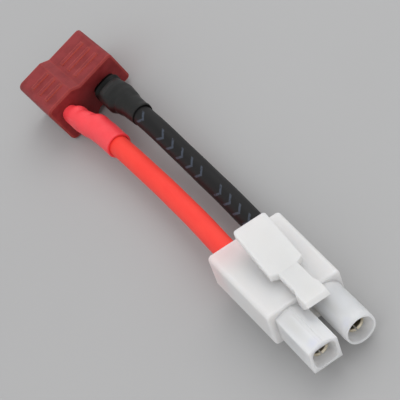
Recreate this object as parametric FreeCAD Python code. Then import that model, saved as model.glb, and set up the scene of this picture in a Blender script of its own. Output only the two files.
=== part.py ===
import FreeCAD, Part
import math
import os

# Battery adapter cable: a red two-blade female T plug and a white two-tube latching housing,
# joined by two short silicone leads. Millimetres, +Y runs from the tube mouths to the T plug,
# +Z is up and the cable lies on a flat surface.

# White two-tube housing, in its own frame: mouths at y = 0, mid-height at z = 0
body_w = 13.45
body_rear_w = 13.95
body_x = -0.2
body_h = 6.8
body_l = 17.35
body_r = 0.8
body_edge_r = 0.35
tube_l = 9.2
tube_pitch = 6.54
round_od = 5.45
round_tip_od = 5.2
round_tip_l = 1.0
round_bore = 4.55
d_width = 5.05
d_floor = 2.45
d_eave = 2.0
d_ridge = 2.95
d_eave_r = 0.4
d_bore_w = 4.1
d_bore_low = 2.05
d_bore_high = 1.85
d_bore_r = 1.2
d_groove_w = 0.5
d_groove_h = 0.22
mouth_lead = 0.12
neck_l = 1.6
neck_y = 8.0
neck_clear = 0.15
chamber_d = 4.8
chamber_lead = 0.3
housing_roll = 17.0
housing_x = 0.15

# Rocking latch lever and the web that carries it
lever_t = 1.25
lever_gap = 0.9
lever_x = 0.25
pad_w = 6.0
pad_y = 13.3
pad_end = 23.4
pad_rise = 2.6
pad_edge_r = 0.5
arm_w = 3.5
arm_y = 13.3
hook_w = 4.1
hook_y = 4.9
hook_l = 3.2
hook_drop = 1.15
hook_back = 1.8
hook_nose = 0.7
hook_tip_h = 0.56
hook_neck = 0.6
shoulder_l = 0.5
hinge_y = 13.0
knuckle_r = 0.75
web_w = 2.6
web_l = 2.6
web_drop = 0.35
hinge_clear = 0.06

# Rolled socket contacts
socket_od = 3.0
sheet = 0.3
socket_y = 1.6
socket_lip = 0.2
seam = 0.25
collar_od = 4.2
collar_l = 0.4
collar_clear = 0.1
channel_l = 1.7
strand_crimp_l = 3.0
neckdown_l = 0.9
grip_l = 2.8
lance_l = 2.3
lance_w = 1.1
lance_out = 0.42
lance_clear = 0.12
lance_bite = 0.18
crimp_clear = 0.02

# Silicone leads
wire_od = 3.85
core_d = 1.8
core_clear = 0.03
core_in_crimp = 2.6
jacket_in_grip = 0.5
free_end = 3.5
rim_straight = 3.0

# Red T plug, in its own frame: wire face at y = 0, mid-height at z = 0
plug_w = 15.95
plug_l = 12.35
tall_h = 9.3
low_h = 7.35
tall_w = 6.1
flank_w = 1.7
tall_corner = 1.2
low_corner = 0.8
plug_edge = 0.3
plug_yaw = 3.06
plug_x = -0.95
plug_y = 81.3
back_wall = 2.2
slot_h = 6.4
slot_w = 2.2
slot_lead = 0.3
blade_t = 0.9
blade_h = 5.6
blade_set_back = 1.0
blade_clear = 0.03
tab_h = 4.6
tab_l = 4.6
tab_chamfer = 0.5
upright_x = -5.28
flat_x = 3.36
flat_z = -0.75
leaf_t = 0.25
leaf_w = 4.6
leaf_l = 8.2
leaf_bow = 0.75
leaf_clear = 0.04
bar_w = 0.9
bar_h = 0.3
bar_pitch = 2.6
bar_first = 2.6
bar_inset = 0.8
bar_count = 3

# Shrunk sleeves over the solder tabs, and the solder under them
sleeve_wall = 0.42
sleeve_gap = 0.08
red_sleeve_l = 15.1
red_fit = 0.47
red_bulge = 0.1
red_back = 0.9
black_sleeve_l = 15.4
black_fit = 0.34
black_side = 0.25
black_bulge = 0.3
sleeve_step = 1.1
sleeve_settle = 3.4
tab_side = 0.12
tab_room = 0.3
strand_room = 0.15
jacket_clear = 0.1
tab_clear = 0.04
jacket_start = 6.4
core_start = 2.6
solder_l = 1.9
solder_r = 1.15
solder_taper = 0.3
solder_sink = 0.2
solder_film = 0.06

# How far a cutter runs past what it cuts
over = 1.0

os.makedirs("parts", exist_ok=True)
V = FreeCAD.Vector
X_AXIS = V(1, 0, 0)
Y_AXIS = V(0, 1, 0)
Z_AXIS = V(0, 0, 1)


def block(x0, x1, y0, y1, z0, z1):
    """Box between two corners."""
    return Part.makeBox(x1 - x0, y1 - y0, z1 - z0, V(x0, y0, z0))


def rod(radius, y0, y1, x=0.0, z=0.0):
    """Cylinder along Y."""
    return Part.makeCylinder(radius, y1 - y0, V(x, y0, z), Y_AXIS)


def cone(r0, r1, y0, y1, x=0.0, z=0.0):
    """Cone along Y, from radius r0 at y0 to r1 at y1."""
    return Part.makeCone(r0, r1, y1 - y0, V(x, y0, z), Y_AXIS)


def prism_y(points, y0, y1):
    """Closed outline of (x, z) points carried from y0 to y1."""
    corners = [V(x, y0, z) for x, z in points]
    face = Part.Face(Part.makePolygon(corners + [corners[0]]))
    return face.extrude(V(0, y1 - y0, 0))


def prism_x(points, x0, x1):
    """Closed outline of (y, z) points carried from x0 to x1."""
    corners = [V(x0, y, z) for y, z in points]
    face = Part.Face(Part.makePolygon(corners + [corners[0]]))
    return face.extrude(V(x1 - x0, 0, 0))


def prism_z(points, z0, z1):
    """Closed outline of (x, y) points carried from z0 to z1."""
    corners = [V(x, y, z0) for x, y in points]
    face = Part.Face(Part.makePolygon(corners + [corners[0]]))
    return face.extrude(V(0, 0, z1 - z0))


def edges_along(shape, axis, limit=0.99):
    """Straight edges of a shape that run along an axis."""
    found = []
    for edge in shape.Edges:
        start, end = edge.Vertexes[0].Point, edge.Vertexes[-1].Point
        run = end.sub(start)
        if run.Length > 0 and abs(run.normalize().dot(axis)) > limit:
            found.append(edge)
    return found


def edges_at(shape, y, reach=0.01):
    """Edges of a shape that lie in the plane at y."""
    return [e for e in shape.Edges if abs(e.BoundBox.YMin - y) < reach and abs(e.BoundBox.YMax - y) < reach]


# Places of the two ends of the cable

body_y = tube_l
body_end = tube_l + body_l
body_top = body_h / 2
roll = math.radians(housing_roll)
corner_x = body_x + body_rear_w / 2 - body_r
corner_z = body_h / 2 - body_r
housing_z = corner_x * math.sin(roll) + corner_z * math.cos(roll) + body_r
plug_z = tall_h / 2 + bar_h / 2
left_x = -tube_pitch / 2
right_x = tube_pitch / 2


def seat_housing(shape):
    """Move a piece of the white housing from its own frame to its place on the surface."""
    placed = shape.copy()
    placed.rotate(V(0, 0, 0), Y_AXIS, housing_roll)
    placed.translate(V(housing_x, 0, housing_z))
    return placed


def housing_point(x, y, z):
    """A point of the white housing's frame, in the cable's frame."""
    cos_r, sin_r = math.cos(roll), math.sin(roll)
    return V(housing_x + x * cos_r + z * sin_r, y, housing_z - x * sin_r + z * cos_r)


def seat_plug(shape):
    """Move a piece of the T plug from its own frame to its place on the surface."""
    placed = shape.copy()
    placed.rotate(V(0, 0, 0), Z_AXIS, plug_yaw)
    placed.translate(V(plug_x, plug_y, plug_z))
    return placed


def plug_point(x, y, z):
    """A point of the T plug's frame, in the cable's frame."""
    yaw = math.radians(plug_yaw)
    cos_y, sin_y = math.cos(yaw), math.sin(yaw)
    return V(plug_x + x * cos_y - y * sin_y, plug_y + x * sin_y + y * cos_y, plug_z + z)


# White housing

socket_r = socket_od / 2
neck_end = neck_y + neck_l
hinge_z = body_top + lever_gap
web_top = hinge_z - web_drop


def make_d_tube():
    """Square tube with a low roof, rounded eaves and a shallow groove along its ridge."""
    half = d_width / 2
    outline = [(-half, -d_floor), (half, -d_floor), (half, d_eave), (0, d_ridge), (-half, d_eave)]
    tube = prism_y([(left_x + x, z) for x, z in outline], 0, body_y + body_r)
    eaves = [e for e in edges_along(tube, Y_AXIS) if abs(e.BoundBox.Center.z - d_eave) < 0.1]
    tube = tube.makeFillet(d_eave_r, eaves)
    groove = block(left_x - d_groove_w / 2, left_x + d_groove_w / 2, 0, body_y, d_ridge - d_groove_h, d_ridge)
    return tube.cut(groove)


def make_round_tube():
    """Round tube, a little slimmer at its tip."""
    tip = cone(round_tip_od / 2, round_od / 2, 0, round_tip_l, right_x)
    return tip.fuse(rod(round_od / 2, round_tip_l, body_y + body_r, right_x))


def make_round_mouth():
    """Cutter of the round tube's wide bore, with its lead-in."""
    bore = round_bore / 2
    return rod(bore, -over, neck_y, right_x).fuse(cone(bore + mouth_lead, bore, 0, mouth_lead, right_x))


def make_d_mouth():
    """Cutter of the square tube's wide bore, a square with well rounded corners."""
    half = d_bore_w / 2
    bore = block(left_x - half, left_x + half, -over, neck_y, -d_bore_low, d_bore_high)
    return bore.makeFillet(d_bore_r, edges_along(bore, Y_AXIS))


def make_web():
    """Saddle on the body's top that carries the lever's knuckle."""
    half = web_w / 2
    web = block(lever_x - half, lever_x + half, hinge_y - web_l / 2, hinge_y + web_l / 2, body_top - body_r, web_top)
    start = V(lever_x - half - over, hinge_y, hinge_z)
    seat = Part.makeCylinder(knuckle_r + hinge_clear, web_w + 2 * over, start, X_AXIS)
    return web.cut(seat)


def make_tube_housing():
    """Body that widens a little to the rear, with two tubes, two stepped bores and the lever's saddle."""
    front, rear = body_w / 2, body_rear_w / 2
    plan = [(-front, body_y), (front, body_y), (rear, body_end), (-rear, body_end)]
    body = prism_z([(body_x + x, y) for x, y in plan], -body_top, body_top)
    body = body.makeFillet(body_r, edges_along(body, Y_AXIS))
    body = body.makeFillet(body_edge_r, edges_at(body, body_y) + edges_at(body, body_end))
    body = body.fuse(make_d_tube())
    body = body.fuse(make_round_tube())
    body = body.fuse(make_web())
    body = body.cut(make_d_mouth()).cut(make_round_mouth())
    for x in (left_x, right_x):
        body = body.cut(rod(socket_r + neck_clear, neck_y - over, neck_end + over, x))
        body = body.cut(rod(chamber_d / 2, neck_end, body_end + over, x))
        body = body.cut(cone(chamber_d / 2, chamber_d / 2 + chamber_lead, body_end - chamber_lead, body_end, x))
    return body.removeSplitter()


def make_lever():
    """Rocking latch: rising thumb pad, narrow arm and a hook that reaches over the tubes."""
    low = body_top + lever_gap
    top = low + lever_t
    tip = hook_y
    nose = hook_y + hook_nose
    heel = hook_y + hook_l
    profile = [
        (tip, low + hook_tip_h),
        (hook_y + hook_back, low - hook_drop),
        (heel, low - hook_drop),
        (heel, low),
        (pad_y, low),
        (pad_end, low + pad_rise),
        (pad_end, top + pad_rise),
        (pad_y, top),
        (nose, top),
    ]
    side = prism_x(profile, lever_x - pad_w / 2, lever_x + pad_w / 2)
    hook, arm, pad = hook_w / 2, arm_w / 2, pad_w / 2
    right = [
        (hook, tip), (hook, heel), (arm, heel + hook_neck), (arm, arm_y), (pad, arm_y + shoulder_l), (pad, pad_end),
    ]
    plan = right + [(-x, y) for x, y in reversed(right)]
    outline = prism_z([(lever_x + x, y) for x, y in plan], low - hook_drop - over, top + pad_rise + over)
    lever = side.common(outline)
    rear = [e for e in edges_along(lever, Z_AXIS, 0.9) if abs(e.BoundBox.YMin - pad_end) < 0.01]
    lever = lever.makeFillet(pad_edge_r, rear)
    knuckle = Part.makeCylinder(knuckle_r, web_w, V(lever_x - web_w / 2, hinge_y, hinge_z), X_AXIS)
    return lever.fuse(knuckle).removeSplitter()


# Socket contacts

collar_y = neck_end + collar_clear
channel_y = collar_y + collar_l
crimp_y = channel_y + channel_l
crimp_end = crimp_y + strand_crimp_l
grip_y = crimp_end + neckdown_l
grip_end = grip_y + grip_l
core_r = core_d / 2
wire_r = wire_od / 2


def make_socket_contact(x):
    """Rolled sheet contact: sprung socket, collar, lances, strand crimp and jacket grip."""
    inner_r = socket_r - sheet
    contact = rod(socket_r, socket_y, channel_y, x)
    contact = contact.fuse(rod(collar_od / 2, collar_y, channel_y, x))
    contact = contact.cut(rod(inner_r, socket_y, channel_y, x))
    contact = contact.cut(cone(inner_r + socket_lip, inner_r, socket_y, socket_y + sheet, x))
    strand_r = core_r + crimp_clear + sheet
    channel = rod(strand_r, channel_y, crimp_end, x)
    channel = channel.cut(rod(core_r + crimp_clear, channel_y - over, crimp_end + over, x))
    channel = channel.cut(block(x - strand_r, x + strand_r, channel_y, crimp_y, 0, strand_r))
    grip_r = wire_r + crimp_clear + sheet
    grip = rod(grip_r, grip_y, grip_end, x)
    taper = cone(strand_r, grip_r, crimp_end, grip_y, x)
    bore = rod(wire_r + crimp_clear, grip_y, grip_end + over, x)
    flare = cone(core_r + crimp_clear, wire_r + crimp_clear, crimp_end, grip_y, x)
    under = block(x - grip_r, x + grip_r, crimp_end, grip_y, -grip_r, 0)
    barrel = grip.fuse(taper.common(under)).cut(bore).cut(flare)
    contact = contact.fuse(channel).fuse(barrel)
    contact = contact.cut(block(x - seam / 2, x + seam / 2, socket_y - over, channel_y, -collar_od, 0))
    contact = contact.cut(block(x - seam / 2, x + seam / 2, crimp_y, grip_end + over, 0, grip_r + over))
    for side in (-1, 1):
        contact = contact.fuse(make_lance(x, side))
    return contact.removeSplitter()


def make_lance(x, side):
    """Tongue that stands out of the socket wall and catches the neck of the bore."""
    end = neck_y - lance_clear
    start = end - lance_l
    inner = socket_r - lance_bite
    outline = [
        (inner, start), (socket_r, start), (socket_r + lance_out, end),
        (socket_r + lance_out - sheet, end), (inner, start + sheet),
    ]
    return prism_z([(x + side * u, y) for u, y in outline], -lance_w / 2, lance_w / 2)


# Leads: straight runs joined by tangent arcs

ARC_SHARE = 0.45


def route_wire(points, before=0.0, after=0.0):
    """Wire of straight runs and tangent arcs through the corners of a route, its two ends drawn out."""
    first_way = points[1].sub(points[0]).normalize()
    last_way = points[-1].sub(points[-2]).normalize()
    edges = []
    radii = []
    here = points[0] - first_way * before
    for back_point, corner, next_point in zip(points, points[1:], points[2:]):
        back = back_point.sub(corner)
        ahead = next_point.sub(corner)
        reach = ARC_SHARE * min(back.Length, ahead.Length)
        turn = math.pi - back.getAngle(ahead)
        radius = reach / math.tan(turn / 2)
        radii.append(radius)
        back.normalize()
        ahead.normalize()
        start = corner + back * reach
        end = corner + ahead * reach
        middle = corner + (back + ahead).normalize() * (radius / math.cos(turn / 2) - radius)
        edges.append(Part.LineSegment(here, start).toShape())
        edges.append(Part.Arc(start, middle, end).toShape())
        here = end
    edges.append(Part.LineSegment(here, points[-1] + last_way * after).toShape())
    return Part.Wire(edges), radii


def sweep_ring(path, start, way, outer_r, inner_r=0.0):
    """Tube, or rod where there is no inner radius, along a path from its start."""
    outer = Part.Wire(Part.makeCircle(outer_r, start, way))
    solid = path.makePipeShell([outer], True, False)
    if inner_r:
        inner = Part.Wire(Part.makeCircle(inner_r, start, way))
        solid = solid.cut(path.makePipeShell([inner], True, False))
    return solid


core_red_x = upright_x + blade_t + solder_film + core_r
core_black_z = flat_z + blade_t + solder_film + core_r
jacket_y = grip_y + jacket_in_grip
core_y = crimp_end - core_in_crimp


def lead_points(x, middle, tab_x, tab_z, sleeve_l):
    """Route of a lead's jacket, from its contact in the housing to the middle of its sleeve."""
    near = [housing_point(x, jacket_y, 0), housing_point(x, body_end - free_end, 0)]
    far = [plug_point(tab_x, -sleeve_l - rim_straight, tab_z), plug_point(tab_x, -jacket_start, tab_z)]
    return near + middle + far


def red_route():
    """Red lead: dips a little, then swings out to the upright tab."""
    middle = [V(-2.7, 38.0, 4.95), V(-2.9, 50.5, 4.3)]
    return lead_points(left_x, middle, core_red_x, 0, red_sleeve_l)


def black_route():
    """Black lead: runs low, then climbs to the face of the flat tab."""
    middle = [V(3.62, 37.0, 3.8), V(3.47, 52.5, 4.2)]
    return lead_points(right_x, middle, flat_x, core_black_z, black_sleeve_l)


def make_lead(name, points):
    """Jacket and strand bundle of one lead, with the facts of its route printed."""
    way = points[1].sub(points[0]).normalize()
    path, radii = route_wire(points)
    jacket = sweep_ring(path, points[0], way, wire_r, core_r + core_clear)
    section = math.pi * (wire_r ** 2 - (core_r + core_clear) ** 2)
    before = jacket_y - core_y
    core_path, _ = route_wire(points, before, jacket_start - core_start)
    core = sweep_ring(core_path, points[0] - way * before, way, core_r)
    print(name, "length", round(path.Length, 2), "radii", [round(r, 1) for r in radii])
    print(name, "volume", round(jacket.Volume, 3), "section x length", round(section * path.Length, 3))
    print(name, "core", round(core.Volume, 3), "section x length", round(math.pi * core_r ** 2 * core_path.Length, 3))
    return jacket, core


# Red T plug

half_w = plug_w / 2
tall_end = tall_w - half_w
low_start = tall_end + flank_w
slot_wall = upright_x + slot_w
flat_top = flat_z + slot_w


def make_plug_body():
    """Block with a tall half and a low half, sloped flanks and rounded edges."""
    tall, low = tall_h / 2, low_h / 2
    upper = [(-half_w, tall), (tall_end, tall), (low_start, low), (half_w, low)]
    outline = upper + [(x, -z) for x, z in reversed(upper)]
    body = prism_y(outline, 0, plug_l)
    for x, radius in ((-half_w, tall_corner), (half_w, low_corner)):
        body = body.makeFillet(radius, [e for e in edges_along(body, Y_AXIS) if abs(e.BoundBox.Center.x - x) < 0.01])
    return body.makeChamfer(plug_edge, edges_at(body, 0) + edges_at(body, plug_l))


def make_bars():
    """Plain raised grip bars on the two halves, top and bottom."""
    spans = (
        (-half_w + tall_corner + bar_inset / 2, tall_end - bar_inset / 2, tall_h / 2),
        (low_start + bar_inset, half_w - low_corner - bar_inset, low_h / 2),
    )
    bars = []
    for x0, x1, top in spans:
        for k in range(bar_count):
            y0 = bar_first + k * bar_pitch
            for z0 in (top - bar_h / 2, -top - bar_h / 2):
                bars.append(block(x0, x1, y0, y0 + bar_w, z0, z0 + bar_h))
    return bars


def make_plug_housing():
    """Moulded body of the T plug with a slot for each blade and a way out for each tab."""
    body = make_plug_body()
    for bar in make_bars():
        body = body.fuse(bar)
    half = slot_h / 2
    body = body.cut(block(upright_x, slot_wall, back_wall, plug_l + over, -half, half))
    body = body.cut(block(flat_x - half, flat_x + half, back_wall, plug_l + over, flat_z, flat_top))
    body = body.cut(make_lead_in(upright_x, slot_wall, -half, half))
    body = body.cut(make_lead_in(flat_x - half, flat_x + half, flat_z, flat_top))
    c = blade_clear
    reach = tab_h / 2 + c
    mouth = back_wall + over
    body = body.cut(block(upright_x - c, upright_x + blade_t + c, -over, mouth, -reach, reach))
    body = body.cut(block(flat_x - reach, flat_x + reach, -over, mouth, flat_z - c, flat_z + blade_t + c))
    return body.removeSplitter()


def make_lead_in(x0, x1, z0, z1):
    """Bevel around the mouth of a slot."""
    s = slot_lead
    inner = [V(x0, plug_l - s, z0), V(x1, plug_l - s, z0), V(x1, plug_l - s, z1), V(x0, plug_l - s, z1)]
    outer = [V(x0 - s, plug_l, z0 - s), V(x1 + s, plug_l, z0 - s), V(x1 + s, plug_l, z1 + s), V(x0 - s, plug_l, z1 + s)]
    wires = [Part.makePolygon(ring + [ring[0]]) for ring in (inner, outer)]
    return Part.makeLoft(wires, True, True)


def make_blade():
    """Blade with its solder tab, flat in the XY plane of its own frame, thickness upwards."""
    blade_end = plug_l - blade_set_back
    blade, tab = blade_h / 2, tab_h / 2
    shoulder = back_wall + blade_clear
    right = [
        (tab - tab_chamfer, -tab_l), (tab, tab_chamfer - tab_l), (tab, shoulder), (blade, shoulder), (blade, blade_end),
    ]
    return prism_z(right + [(-x, y) for x, y in reversed(right)], 0, blade_t)


def make_leaf():
    """Bowed leaf spring that lies under z = 0 of its own frame and bulges downwards."""
    start = back_wall + leaf_clear
    middle = start + leaf_l / 2
    end = start + leaf_l
    t = leaf_t
    upper = Part.Arc(V(0, start, 0), V(0, middle, -leaf_bow), V(0, end, 0)).toShape()
    lower = Part.Arc(V(0, start, -t), V(0, middle, -leaf_bow - t), V(0, end, -t)).toShape()
    first = Part.LineSegment(V(0, start, 0), V(0, start, -t)).toShape()
    last = Part.LineSegment(V(0, end, 0), V(0, end, -t)).toShape()
    face = Part.Face(Part.Wire([upper, last, lower, first]))
    leaf = face.extrude(V(leaf_w, 0, 0))
    leaf.translate(V(-leaf_w / 2, 0, -leaf_clear))
    return leaf


def upright(shape, x):
    """Turn a flat piece on edge: its thickness then runs along X from x."""
    turned = shape.copy()
    turned.rotate(V(0, 0, 0), Y_AXIS, 90)
    turned.translate(V(x, 0, 0))
    return turned


def flat(shape, z):
    """Lift a flat piece to z and centre it on the low half's slot."""
    moved = shape.copy()
    moved.translate(V(flat_x, 0, z))
    return moved


# Shrunk sleeves and solder, in the plug's frame

SLEEVE_POINTS = 16
SLEEVE_STEPS = 2


def oval(y, x, z, half_x, half_z, power):
    """Closed curve |u/a|^n + |v/b|^n = 1 in the plane at y."""
    points = []
    for k in range(SLEEVE_POINTS):
        angle = 2 * math.pi * k / SLEEVE_POINTS
        c, s = math.cos(angle), math.sin(angle)
        reach = (abs(c) ** power + abs(s) ** power) ** (-1 / power)
        points.append(V(x + half_x * reach * c, y, z + half_z * reach * s))
    curve = Part.BSplineCurve()
    curve.interpolate(Points=points, PeriodicFlag=True)
    return Part.Wire(curve.toShape())


def blended(stations):
    """Sections in small steps, each station easing into the next."""
    sections = [stations[0]]
    for near, far in zip(stations, stations[1:]):
        for k in range(1, SLEEVE_STEPS + 1):
            t = k / SLEEVE_STEPS
            ease = t * t * (3 - 2 * t)
            y = near[0] + (far[0] - near[0]) * t
            sections.append([y] + [a + (b - a) * ease for a, b in zip(near[1:], far[1:])])
    return sections


def make_sleeve(stations, x, z, tab):
    """Shrunk sleeve through oval stations (y, x, z, half width, half height, power), around tab and lead."""
    end = stations[-1][0]
    sections = blended(stations)
    outer = Part.makeLoft([oval(*s) for s in sections], True, True)
    w = sleeve_wall
    inner_sections = [(y, cx, cz, a - w, b - w, n) for y, cx, cz, a, b, n in sections]
    sleeve = outer.cut(Part.makeLoft([oval(*s) for s in inner_sections], True, True))
    sleeve = sleeve.cut(rod(wire_r + jacket_clear, end - over, jacket_clear - jacket_start, x, z))
    sleeve = sleeve.cut(rod(core_r + tab_clear, -jacket_start, 0, x, z))
    return sleeve.cut(tab)


tab_half = tab_h / 2 + sleeve_wall + tab_side
tab_reach = tab_h / 2 + tab_clear


def upright_station(y, near, far, half_z, power):
    """Station of the red sleeve between its two sides, with the same height above and below."""
    return (y, (near + far) / 2, 0, (far - near) / 2, half_z, power)


def flat_station(y, low, high, half_x, power, x=flat_x):
    """Station of the black sleeve between its underside and its top."""
    return (y, x, (low + high) / 2, half_x, (high - low) / 2, power)


def red_sleeve():
    """Sleeve that is tall and narrow at the upright tab and round over the lead."""
    x = core_red_x
    fit = wire_r + red_fit
    bulge = fit + red_bulge
    tab_start, tab_end = upright_x - tab_clear, upright_x + blade_t + tab_clear
    tab = block(tab_start, tab_end, -tab_l - tab_clear, over, -tab_reach, tab_reach)
    back = upright_x - sleeve_wall - red_back
    return make_sleeve([
        upright_station(-sleeve_gap, back, x + core_r / 2 + strand_room, tab_half, 2.6),
        upright_station(-core_start, back, x + core_r + sleeve_wall, tab_half, 2.5),
        upright_station(-tab_l, back, x + wire_r, tab_half, 2.4),
        upright_station(-jacket_start, x - bulge, x + fit - strand_room, bulge, 2.2),
        upright_station(-(jacket_start + red_sleeve_l) / 2, x - fit, x + bulge, fit, 2.0),
        upright_station(-red_sleeve_l, x - fit, x + fit, fit, 2.0),
    ], x, 0, tab)


def black_sleeve():
    """Sleeve that is wide and flat at the flat tab and round over the lead."""
    z = core_black_z
    fit = wire_r + black_fit
    tab_start, tab_end = flat_z - tab_clear, flat_z + blade_t + tab_clear
    tab = block(flat_x - tab_reach, flat_x + tab_reach, -tab_l - tab_clear, over, tab_start, tab_end)
    low = flat_z - sleeve_wall - tab_room
    high = flat_z + blade_t + sleeve_wall + tab_room
    strands = z + core_r + sleeve_wall + strand_room
    wide = tab_half
    side = flat_x - black_side
    bulge = z + wire_r + black_fit
    return make_sleeve([
        flat_station(-sleeve_gap, low, high, wide, 4.0, side),
        flat_station(-sleeve_step, low, high + strand_room, wide, 4.0, side),
        flat_station(-core_start, low - strand_room, strands, wide, 3.6, side),
        flat_station(-tab_l, low - strand_room, z + wire_r, wide, 3.2, side),
        flat_station(-jacket_start, z - fit - strand_room, bulge, wide + tab_side, 2.6, side),
        flat_station(-jacket_start - sleeve_settle / 2, z - fit, bulge, wide + tab_side, 2.2, side),
        flat_station(-jacket_start - sleeve_settle, z - fit, z + fit, fit + black_bulge, 2.1),
        flat_station(-(jacket_start + black_sleeve_l) / 2 - over, z - fit, z + fit, fit, 2.0),
        flat_station(-black_sleeve_l, z - fit, z + fit, fit, 2.0),
    ], flat_x, z, tab)


def make_solder(x, z, side, strands):
    """Bead of solder with tapered ends, between a tab's face and the strands that lie on it."""
    start = -core_start - sleeve_gap
    end = start - solder_l
    tip_r = solder_r - solder_taper
    bead = rod(solder_r, end + solder_taper, start - solder_taper, x, z)
    bead = bead.fuse(cone(tip_r, solder_r, end, end + solder_taper, x, z))
    bead = bead.fuse(cone(solder_r, tip_r, start - solder_taper, start, x, z))
    return bead.common(side).cut(strands)


# The whole cable, each piece in the cable's frame

shapes = {}
shapes["tube_housing"] = seat_housing(make_tube_housing())
shapes["latch_lever"] = seat_housing(make_lever())
shapes["socket_contact_positive"] = seat_housing(make_socket_contact(left_x))
shapes["socket_contact_negative"] = seat_housing(make_socket_contact(right_x))

red_points = red_route()
black_points = black_route()
shapes["wire_jacket_red"], shapes["wire_core_red"] = make_lead("red lead", red_points)
shapes["wire_jacket_black"], shapes["wire_core_black"] = make_lead("black lead", black_points)

shapes["t_plug_housing"] = seat_plug(make_plug_housing())
shapes["t_plug_contact_positive"] = seat_plug(upright(make_blade(), upright_x))
shapes["t_plug_contact_negative"] = seat_plug(flat(make_blade(), flat_z))
shapes["t_plug_spring_positive"] = seat_plug(upright(make_leaf(), slot_wall))
shapes["t_plug_spring_negative"] = seat_plug(flat(make_leaf(), flat_top))
shapes["heat_shrink_red"] = seat_plug(red_sleeve())
shapes["heat_shrink_black"] = seat_plug(black_sleeve())

tab_face = upright_x + blade_t
red_side = block(tab_face, tab_face + 2 * solder_r, -tab_l, 0, -tab_h / 2, tab_h / 2)
red_strands = rod(core_r, -tab_l - over, 0, core_red_x)
shapes["solder_joint_positive"] = seat_plug(make_solder(core_red_x - solder_sink, 0, red_side, red_strands))
black_face = flat_z + blade_t
black_side = block(flat_x - tab_h / 2, flat_x + tab_h / 2, -tab_l, 0, black_face, black_face + 2 * solder_r)
black_strands = rod(core_r, -tab_l - over, 0, flat_x, core_black_z)
shapes["solder_joint_negative"] = seat_plug(make_solder(flat_x, core_black_z - solder_sink, black_side, black_strands))

# The origin goes to the middle of the underside of everything but the leads

CORD_NODES = ("wire_jacket_red", "wire_core_red", "wire_jacket_black", "wire_core_black")
bounds = FreeCAD.BoundBox()
for name, shape in shapes.items():
    if name not in CORD_NODES:
        bounds.add(shape.optimalBoundingBox(False, False))
shift = V(-bounds.Center.x, -bounds.Center.y, -bounds.ZMin)
for name, shape in shapes.items():
    shape.translate(shift)
    shape.exportStep("parts/" + name + ".step")
    print(name, "solids", len(shape.Solids), "valid", shape.isValid(), "volume", round(shape.Volume, 3))


def told(name, point):
    """Print a point after the shift, for the record."""
    moved = point + shift
    print(name, [round(moved.x, 3), round(moved.y, 3), round(moved.z, 3)])


print("shift", [round(v, 4) for v in (shift.x, shift.y, shift.z)])
print("size", [round(v, 3) for v in (bounds.XLength, bounds.YLength, bounds.ZLength)])
told("hinge", housing_point(lever_x, hinge_y, hinge_z))
told("left bore", housing_point(left_x, socket_y + sheet, 0))
told("right bore", housing_point(right_x, socket_y + sheet, 0))
told("tube pair", housing_point(0, 0, 0))
told("upright slot", plug_point(upright_x + slot_w / 2, plug_l, 0))
told("flat slot", plug_point(flat_x, plug_l, flat_z + slot_w / 2))
told("rest face", plug_point((tall_corner - half_w + tall_end) / 2, bar_first + bar_pitch + bar_w / 2, -plug_z))
told("plug axis", plug_point(0, 1, 0).sub(plug_point(0, 0, 0)).sub(shift))
for k, point in enumerate(red_points):
    told("red " + str(k), point)
for k, point in enumerate(black_points):
    told("black " + str(k), point)
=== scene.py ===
"""Battery adapter cable: two silicone leads between a red two-blade plug and a white housing.

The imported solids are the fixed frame. This file dresses them: the leads and the shrunk sleeves are
new surfaces, and every other part keeps its solid and gets the finish of the real one. Sizes of the
new surfaces are in millimetres and go into the meshes in metres.
"""

import logging
import math
from dataclasses import dataclass
from enum import Enum
from typing import Any, Iterable, Mapping, Sequence

import bpy
import numpy as np
from mathutils import Matrix, Vector


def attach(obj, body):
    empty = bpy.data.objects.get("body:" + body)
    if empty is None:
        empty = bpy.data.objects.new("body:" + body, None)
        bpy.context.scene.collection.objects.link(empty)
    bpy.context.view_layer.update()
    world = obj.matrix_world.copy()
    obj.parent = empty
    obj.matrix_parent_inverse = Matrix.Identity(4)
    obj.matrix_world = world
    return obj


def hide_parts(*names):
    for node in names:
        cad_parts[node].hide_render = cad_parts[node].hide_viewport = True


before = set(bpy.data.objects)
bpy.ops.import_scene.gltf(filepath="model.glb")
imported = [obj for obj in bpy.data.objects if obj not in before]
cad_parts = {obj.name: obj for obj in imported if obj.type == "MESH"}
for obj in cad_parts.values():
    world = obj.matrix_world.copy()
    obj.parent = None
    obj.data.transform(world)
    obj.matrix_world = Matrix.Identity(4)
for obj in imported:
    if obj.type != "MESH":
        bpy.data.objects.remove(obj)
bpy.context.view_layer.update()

LOG = logging.getLogger("adapter_cable")
MM = 0.001

Colour = tuple[float, float, float]
Point = tuple[float, float, float]
Socket = bpy.types.NodeSocket


class Slot(Enum):
    """Names of material slots that the leads and sleeves hold; nothing in this script reads them."""

    RED_SILICONE = "red_silicone"
    BLACK_SILICONE = "black_silicone"
    RED_SLEEVE = "red_sleeve"
    BLACK_SLEEVE = "black_sleeve"


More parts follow.
